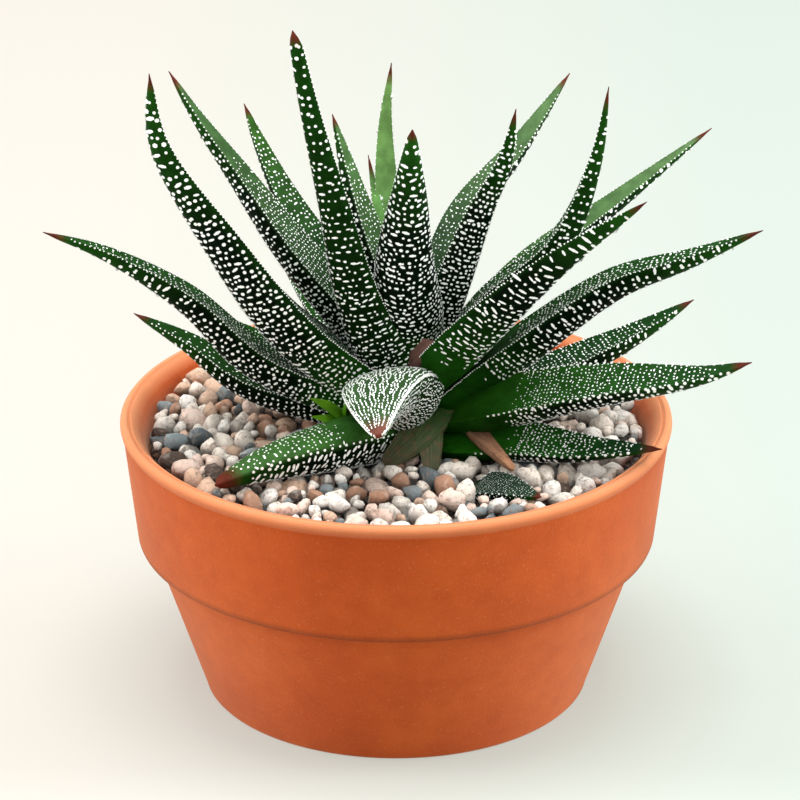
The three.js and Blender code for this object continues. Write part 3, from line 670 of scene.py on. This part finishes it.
def scatterRows(leaf, span, faces, rows, spaces, beads, dashes, dice, skip=0.06, thinning=0):
    # Tubercles in crosswise rows, as (t, angle, half length across, half length along, turn)
    length = leaf["curve"][0][-1]
    first, last = span
    angles = np.linspace(faces[0], faces[1], 41)
    s = first * length
    spots = []
    while s < last * length:
        t = s / length
        share = (t - first) / (last - first)
        pitch = np.interp(share, (0, 0.5, 1), rows)
        space, bead, dash = (np.interp(share, (0, 1), ends) for ends in (spaces, beads, dashes))
        ring = layOn(leaf, np.full(len(angles), t), angles)
        reach = np.concatenate([[0], np.cumsum(np.linalg.norm(np.diff(ring, axis=0), axis=1))])
        place = dice.uniform(0, 0.8) * (bead + space)
        # The first rows are sparse, and so are the last ones of the inner face
        missing = max(skip, 0.85 - 12 * (t - first), thinning - 6 * (last - t))
        while place < reach[-1]:
            radius = bead / 2 * dice.uniform(*stray["size"])
            isDash = dice.random() < dash
            across = radius * dice.uniform(*(leaf["dashLength"] if isDash else stray["round"]))
            middle = place + across
            if middle < reach[-1] and dice.random() > missing:
                spots.append((
                    t + dice.uniform(*stray["offset"]) * pitch / length,
                    np.interp(middle, reach, angles), across, radius * (0.9 if isDash else 1),
                    math.radians(leaf["dashTurn"]) + dice.uniform(*stray["turn"])))
            merges = dice.random() < stray["merging"]
            place = middle + across + space * dice.uniform(*stray["overlap" if merges else "gap"])
        s += pitch * dice.uniform(*stray["pitch"])
    return spots


def scatterLines(leaf, number, bead, dice):
    # Wavy lengthwise lines on the inner face. They draw together towards the tip, so that the
    # shorter ones end where they would run into their neighbours.
    length = leaf["curve"][0][-1]
    spots = []
    for i in range(number):
        share = (i + 0.5) / number
        middle = math.acos(1 - 2 * share) + math.pi
        last = 0.93 if i in (0, number // 2, number - 1) else (0.55, 0.95, 0.72, 0.87)[i % 4]
        wave = dice.uniform(0, 2 * math.pi)
        s = dice.uniform(0.03, 0.06) * length
        while s < last * length:
            t = s / length
            radius = bead / 2 * dice.uniform(0.8, 1.2) * (1.05 - 0.35 * t)
            along = radius * dice.uniform(1.1, 2.6)
            swing = 0.035 * math.sin(wave + s * 1.4) + dice.uniform(-0.02, 0.02)
            spots.append((t, middle + swing, radius, along, dice.uniform(-0.3, 0.3)))
            s += 2 * along + dice.uniform(-0.15, 0.3)
    return spots


def scatterMargin(leaf, angle, first, pitch, bead, dice):
    # Nearly a white line in the lower half, and separate teeth further out
    length = leaf["curve"][0][-1]
    s = first * length
    spots = []
    while s < (leaf["dry"] + 0.02) * length:
        t = s / length
        radius = bead / 2 * dice.uniform(0.85, 1.15) * (0.8 + 0.6 * t)
        spots.append((t, angle + dice.uniform(-0.04, 0.04), radius,
                      max(radius, pitch * (0.5 - t) * dice.uniform(0.9, 1.2)), 0))
        s += pitch * dice.uniform(0.85, 1.15) * (0.9 + 0.9 * t)
    return spots


def tuberclesOf(leaf, spots):
    t, angle, across, along, turn = (np.array(column, float) for column in zip(*spots))
    t = np.clip(t, 0.01, 0.985)
    spot, normal, crosswise = skinFrame(leaf, t, angle)
    lengthwise = np.cross(normal, crosswise)
    c, s = np.cos(turn)[:, None], np.sin(turn)[:, None]
    crosswise, lengthwise = crosswise * c + lengthwise * s, lengthwise * c - crosswise * s
    dome = meshPoints(tubercleDome.data)
    height = np.minimum(across, along) * tubercle["height"]
    points = spot[:, None, :]
    for k, (way, size) in enumerate(((crosswise, across), (lengthwise, along), (normal, height))):
        points = points + way[:, None, :] * (dome[None, :, k, None] * size[:, None, None])
    count, each = points.shape[:2]
    faces = [tuple(face.vertices) for face in tubercleDome.data.polygons]
    allFaces = [tuple(i * each + k for k in face) for i in range(count) for face in faces]
    mesh = bpy.data.meshes.new("tubercles")
    mesh.from_pydata((points.reshape(-1, 3) * mm).tolist(), [], allFaces)
    t, angle = np.repeat(t, each), np.repeat(angle, each)
    paintSkin(mesh, leaf, t, angle, angle / (2 * math.pi), t)
    mesh.materials.append(tubercleWhite)
    return newObject("tubercles", mesh)


def layLeafSkin(leaf, material):
    piece = newObject("leafSkin", blankLeaf.data.copy())
    bar = meshPoints(piece.data)
    t = bar[:, 2]
    angle = np.arctan2(bar[:, 1], bar[:, 0])
    piece.data.vertices.foreach_set("co", (layOn(leaf, t, angle) * mm).ravel())
    paintSkin(piece.data, leaf, t, angle, (angle / (2 * math.pi)) % 1, t)
    piece.data.materials.append(material)
    return piece


def modelLeaf(name, entry, number):
    leaf = growLeaf(entry)
    dice = np.random.default_rng(100 + number)
    skin = layLeafSkin(leaf, leafSkin)
    spots = scatterRows(leaf, (leaf["dotsFrom"], leaf["dry"] + 0.02), (0.1, math.pi - 0.1),
                        leaf["rows"], leaf["space"], leaf["bead"], leaf["dashes"], dice)
    if leaf["innerDots"]:
        first, last, pitch, bead = leaf["innerDots"]
        spots += scatterRows(leaf, (first, last), (math.pi + 0.2, 2 * math.pi - 0.2),
                             (pitch, pitch * 1.1, pitch * 1.4), (pitch - bead, pitch * 1.2 - bead),
                             (bead * 0.85, bead * 1.15), (leaf["innerDashes"],) * 2,
                             dice, skip=0.12, thinning=0.8)
    if leaf["lines"]:
        spots += scatterLines(leaf, *leaf["lines"], dice)
    for inwards in leaf["marginRows"]:
        for angle in (-inwards, math.pi + inwards):
            spots += scatterMargin(leaf, angle, *leaf["margin"], dice)
    joinInto(skin, [tuberclesOf(leaf, spots)])
    startEditing()
    endEditing()
    finishPiece(skin, name + "_dressed", name)


for number, (name, entry) in enumerate(leaves.items()):
    modelLeaf(name, entry, number)
print("leaves laid")


# Each is one or more short leaves, with what they share and the route of each in mm
smallPieces = {
    "pup": {
        "slot": "pup_leaf", "finish": leafSkin,
        "shared": {
            "breadth": 4.4, "depth": 2.2, "roll": -45,
            "outer": ("#36740c", "#438414", "#669e28"), "inner": ("#407e08", "#6ea628")},
        "parts": [
            {"route": [[-8, -11, 63], [-12.5, -14, 69], [-18.4, -16, 73.2]],
             "breadth": 5, "depth": 2.4},
            {"route": [[-8, -11, 62], [-12.5, -14, 66.6], [-18.2, -16, 68.9]]},
            {"route": [[-8, -11, 63], [-10.8, -14, 68.5], [-10.6, -16, 72.4]]}]},
    "dried_leaf_front": {
        "slot": "dried_leaf", "finish": driedHusk,
        "shared": {
            "breadth": 4.2, "depth": 3.4, "waist": 1, "blunt": 0.35,
            "outer": ("#3c251b", "#b08468", "#c08a64"), "inner": ("#3c251b", "#c08a64")},
        "parts": [{"route": [[15.5, -13.5, 65.8], [19, -20, 64.6], [25, -27.7, 61.6]]}]},
    "flower_stalk_stub": {
        "slot": "dried_leaf", "finish": driedHusk,
        "shared": {
            "breadth": 6.2, "depth": 4.4, "waist": 1, "blunt": 0.6,
            "outer": ("#3a211c", "#5a3a32", "#6f4a40"), "inner": ("#3a211c", "#6f4a40")},
        "parts": [{"route": [[2, -11, 75], [4, -16.5, 82], [8, -19, 87.6]]}]},
    "old_leaf_base": {
        "slot": "stem", "finish": driedHusk,
        "shared": {
            "waist": 0.9,
            "outer": ("#265414", "#3c5626", "#4e4c32"), "inner": ("#265414", "#484a2e")},
        "parts": [
            {"route": [[9, -12, 68], [4.5, -21, 66], [-2.4, -27, 62.3]],
             "breadth": 9, "depth": 5.5, "taper": 1.9, "blunt": 0.3},
            {"route": [[6, -15, 66.5], [7, -22, 65.5], [7.5, -26.5, 60.5]],
             "breadth": 7, "depth": 4.5, "blunt": 0.4}]},
}

for name, entry in smallPieces.items():
    parts = [layLeafSkin(growLeaf({"dry": 0.98, **entry["shared"], **part}), entry["finish"])
             for part in entry["parts"]]
    piece = joinInto(parts[0], parts[1:])
    finishPiece(piece, name + "_dressed", name)
print("small pieces laid")


gravel = {
    "radius": 53.4, "bedLevel": 58.0, "mound": 1.8, "moundReach": 53.6,  # mm
    "gritBottom": 51.8, "gritDepth": 5,  # mm
    # the grit's near black tone is painted shade in the hollows between the pebbles
    "gritSides": 64, "hollowShadeTone": "#1f1813",
    "sizes": (2.6, 7.0),  # mm
    "stemGap": 5.5,       # mm, free of pebbles round the stem
    "lowLeaf": 80,        # mm, the pebbles lie under the leaves whose second point is lower
    "shapes": 9,
    # what is drawn in and out of each pebble's sides, as shares of its size
    "flats": (-0.2, -0.13, 0.22, -0.12, 0.2, -0.12, 0.12),
    # count, rise in mm and brightness of the lower and the upper pebbles. The lower ones are
    # darkened as painted shade in the crevices.
    "layers": ((500, -1.4, 0.34), (640, 1.3, 1.18)),
    "brightest": 0.83,    # of a pebble's channels
}


def modelPebbles(dice):
    shapes = []
    for i in range(gravel["shapes"]):
        selectOnly()
        ops.mesh.primitive_cube_add(size=1)
        piece = bpy.context.object
        startEditing()
        ops.mesh.subdivide(number_cuts=2)
        ops.transform.tosphere(value=0.9)
        # Each pebble has a few worn flats and a lump or two
        for amount in gravel["flats"]:
            direction = dice.normal(size=3)
            direction /= np.linalg.norm(direction)
            ops.mesh.select_all(action="DESELECT")
            ops.object.mode_set(mode="OBJECT")
            for vertex in piece.data.vertices:
                vertex.select = np.dot(vertex.co, direction) > 0.24
            ops.object.mode_set(mode="EDIT")
            ops.transform.translate(value=direction * amount)
        ops.mesh.select_all(action="SELECT")
        ops.transform.vertex_random(offset=0.05, seed=i + 1)
        ops.mesh.vertices_smooth(factor=0.25)
        ops.object.mode_set(mode="OBJECT")
        points = meshPoints(piece.data)
        reach = np.abs(points).max(axis=0)
        shapes.append((points / reach / 2, [tuple(face.vertices) for face in piece.data.polygons]))
        bpy.data.objects.remove(piece)
    return shapes


def spreadPebbles(count, dice):
    # Round spots of many sizes that push each other apart until they lie side by side
    least, most = gravel["sizes"]
    size = least + (most - least) * dice.random(count) ** 1.7
    limit = gravel["radius"]
    angle = dice.uniform(0, 2 * math.pi, count)
    reach = limit * np.sqrt(dice.random(count))
    spot = np.stack([np.cos(angle), np.sin(angle)], -1) * reach[:, None]
    for _ in range(120):
        offset = spot[:, None] - spot[None]
        distance = np.linalg.norm(offset, axis=-1) + 1e-6
        wanted = (size[:, None] + size[None]) / 2 * 0.99
        push = np.clip(wanted - distance, 0, None)
        np.fill_diagonal(push, 0)
        spot += (offset / distance[..., None] * push[..., None] * 0.35).sum(1)
        r = np.linalg.norm(spot, axis=-1)
        inside = np.minimum(r, limit - size * 0.42)
        spot *= (inside / np.maximum(r, 1e-6))[:, None]
    return spot, size


# Each shade with its share at the right, and what the left adds to that
stoneShades = {
    "#e4d9cd": (0.28, -0.06),  # cream
    "#eee9e2": (0.3, -0.22),  # white
    "#bd9e88": (0.06, 0.2),  # tan
    "#9c755e": (0.02, 0.13),  # rust
    "#737d80": (0.03, 0.08),  # blue grey
    "#4f5a5f": (0.01, 0.04),  # slate
    "#41352e": (0.01, 0.015),  # dark
    "#d6beb0": (0.14, 0.05),  # pink
    "#d8d1c8": (0.14, -0.03),  # pale
}


def shadeFor(x, dice):
    left = np.clip(0.5 - x / 70, 0, 1)
    shares = np.array([share + more * left for share, more in stoneShades.values()])
    pick = dice.choice(len(shares), p=shares / shares.sum())
    base = np.array(linearColor(list(stoneShades)[pick]))
    base[:3] *= dice.uniform(0.82, 1.12) * (1.2 + 0.06 * left)
    base[:3] *= min(1, gravel["brightest"] / base[:3].max())
    return base


def randomTurn(dice):
    q = dice.normal(size=4)
    w, x, y, z = q / np.linalg.norm(q)
    return np.array([
        [1 - 2 * (y * y + z * z), 2 * (x * y - z * w), 2 * (x * z + y * w)],
        [2 * (x * y + z * w), 1 - 2 * (x * x + z * z), 2 * (y * z - x * w)],
        [2 * (x * z - y * w), 2 * (y * z + x * w), 1 - 2 * (x * x + y * y)]])


def modelGritBed():
    # The fine grit that fills the hollows under the pebbles: a disc whose top is drawn up in
    # narrowing rings to a low mound. Its near black tone is painted shade in the hollows.
    radius, height = gravel["radius"] * mm, gravel["gritBottom"] * mm
    bed = startRing("gritBed", gravel["gritSides"], radius, height)
    raiseRing(gravel["gritDepth"] * mm)
    for share in (0.75, 0.6, 0.4):
        raiseRing(gravel["mound"] / 3 * mm, share)
    endEditing()
    ops.object.transform_apply()
    paintPoints(bed.data, "stoneColor", [linearColor(gravel["hollowShadeTone"])] * len(bed.data.vertices))
    return bed


def modelGravel():
    dice = np.random.default_rng(31)
    shapes = modelPebbles(dice)
    under = []      # points of the low leaves, and how far round them the pebbles keep low
    for entry in leaves.values():
        if entry["route"][1][2] < gravel["lowLeaf"]:
            leaf = growLeaf(entry)
            t, angle = np.meshgrid(np.linspace(0.02, 1, 60), np.linspace(0, 2 * math.pi, 24))
            body = layOn(leaf, t.ravel(), angle.ravel())
            under.append(np.column_stack([body, np.full(len(body), leaf["shore"])]))
    under = np.vstack(under)
    points, faces, colors = [], [], []
    total = 0
    # The pebbles of the lower layer show in the crevices and are darkened there as painted shade
    for count, rise, layerShade in gravel["layers"]:
        for (x, y), diameter in zip(*spreadPebbles(count, dice)):
            shape, shapeFaces = shapes[dice.integers(len(shapes))]
            stretch = [dice.uniform(*span) for span in ((0.9, 1.15), (0.75, 1.0), (0.65, 0.9))]
            body = (shape * stretch * diameter) @ randomTurn(dice).T
            mound = gravel["mound"] * (1 - (x * x + y * y) / gravel["moundReach"] ** 2)
            z = gravel["bedLevel"] + mound + rise
            z += dice.uniform(-0.7, 0.7) - diameter * 0.1
            top = body[:, 2].max()
            near = under[np.hypot(under[:, 0] - x, under[:, 1] - y) < diameter * under[:, 3]]
            if len(near):
                z = min(z, near[:, 2].min() - top - 0.1)
            atStem = math.hypot(x - stemX, y - stemY) < gravel["stemGap"]
            if atStem or z + top < gravel["bedLevel"] - 2:
                continue
            points.append(body + (x, y, z))
            faces += [tuple(k + total for k in face) for face in shapeFaces]
            # Painted shade darkens a pebble towards its underside
            undersideShade = np.clip((body[:, 2] - body[:, 2].min()) / (np.ptp(body[:, 2]) * 0.8), 0.14, 1)
            colors.append(shadeFor(x, dice) * layerShade * undersideShade[:, None])
            total += len(body)
    mesh = bpy.data.meshes.new("pebbles")
    mesh.from_pydata((np.vstack(points) * mm).tolist(), [], faces)
    paintPoints(mesh, "stoneColor", np.vstack(colors))
    piece = joinInto(newObject("pebbles", mesh), [modelGritBed()])
    piece.data.materials.append(gravelStone)
    finishPiece(piece, "gravelDressing", "gravel", smoothTo=60)


modelGravel()
bpy.data.objects.remove(blankLeaf)
bpy.data.objects.remove(tubercleDome)
print("gravel spread")


stage = {
    "cream": "#fffaf0", "mint": "#eaf6ec", "floorSize": 8,  # metres
    "creamTo": -0.09, "mintFrom": 0.1,                      # metres from the left to the right
    "paper": 0.29, "glow": 0.455,                           # translucent paper on a light table
    "nearGlow": 0.56, "nearTo": -0.088, "farFrom": -0.045,  # metres, it glows more in front
    "room": "#f4f6f0", "roomLight": 0.5,
}


def floorShading(tree, place):
    parts = addNode(tree, "SeparateXYZ", {0: place})
    color = layTones(tree, stage["cream"], (
        parts.outputs["X"], stage["creamTo"], stage["mintFrom"], 1.0, stage["mint"]))
    dimmed = addNode(tree, "VectorMath", {0: color, "Scale": stage["paper"]}, operation="SCALE")
    glow = addNode(tree, "MapRange", {
        "Value": parts.outputs["Y"], "From Min": stage["nearTo"], "From Max": stage["farFrom"],
        "To Min": stage["nearGlow"], "To Max": stage["glow"]})
    return {
        "Base Color": dimmed, "Roughness": 0.9, "Specular IOR Level": 0.0,
        "Emission Color": color, "Emission Strength": glow}


def layFloor():
    selectOnly()
    ops.mesh.primitive_plane_add(size=stage["floorSize"])
    floor = bpy.context.object
    floor.name = "paleFloor"
    floor.data.materials.append(makeMaterial("palePaperFloor", floorShading))


# place, size and the height on the axis that it is aimed at in metres, power in watts
lights = {
    "topSoftbox": {"place": (0, -0.02, 1.5), "aim": 0.06, "size": 1.0, "power": 26},
    "frontSoftbox": {"place": (0, -1.5, 1.2), "aim": 0.08, "size": 0.8, "power": 7},
    "leftSoftbox": {"place": (-1.3, 0.05, 0.42), "aim": 0.07, "size": 0.9, "power": 14},
    "rightSoftbox": {"place": (1.3, 0.05, 0.42), "aim": 0.07, "size": 0.9, "power": 18},
}


def hangLights():
    for name, light in lights.items():
        ops.object.light_add(type="AREA", location=light["place"])
        lamp = bpy.context.object
        lamp.name = name
        lamp.data.size = light["size"]
        lamp.data.energy = light["power"]
        lamp.visible_camera = False
        x, y, z = np.array(light["place"]) - (0, 0, light["aim"])
        lamp.rotation_euler = (math.atan2(math.hypot(x, y), z), 0, math.atan2(y, x) + math.pi / 2)
    world = bpy.data.worlds.new("softRoom")
    bpy.context.scene.world = world
    world.use_nodes = True
    background = world.node_tree.nodes["Background"].inputs
    background["Color"].default_value = linearColor(stage["room"])
    background["Strength"].default_value = stage["roomLight"]


layFloor()
hangLights()
bpy.context.scene.view_settings.view_transform = "Standard"
print("stage set")
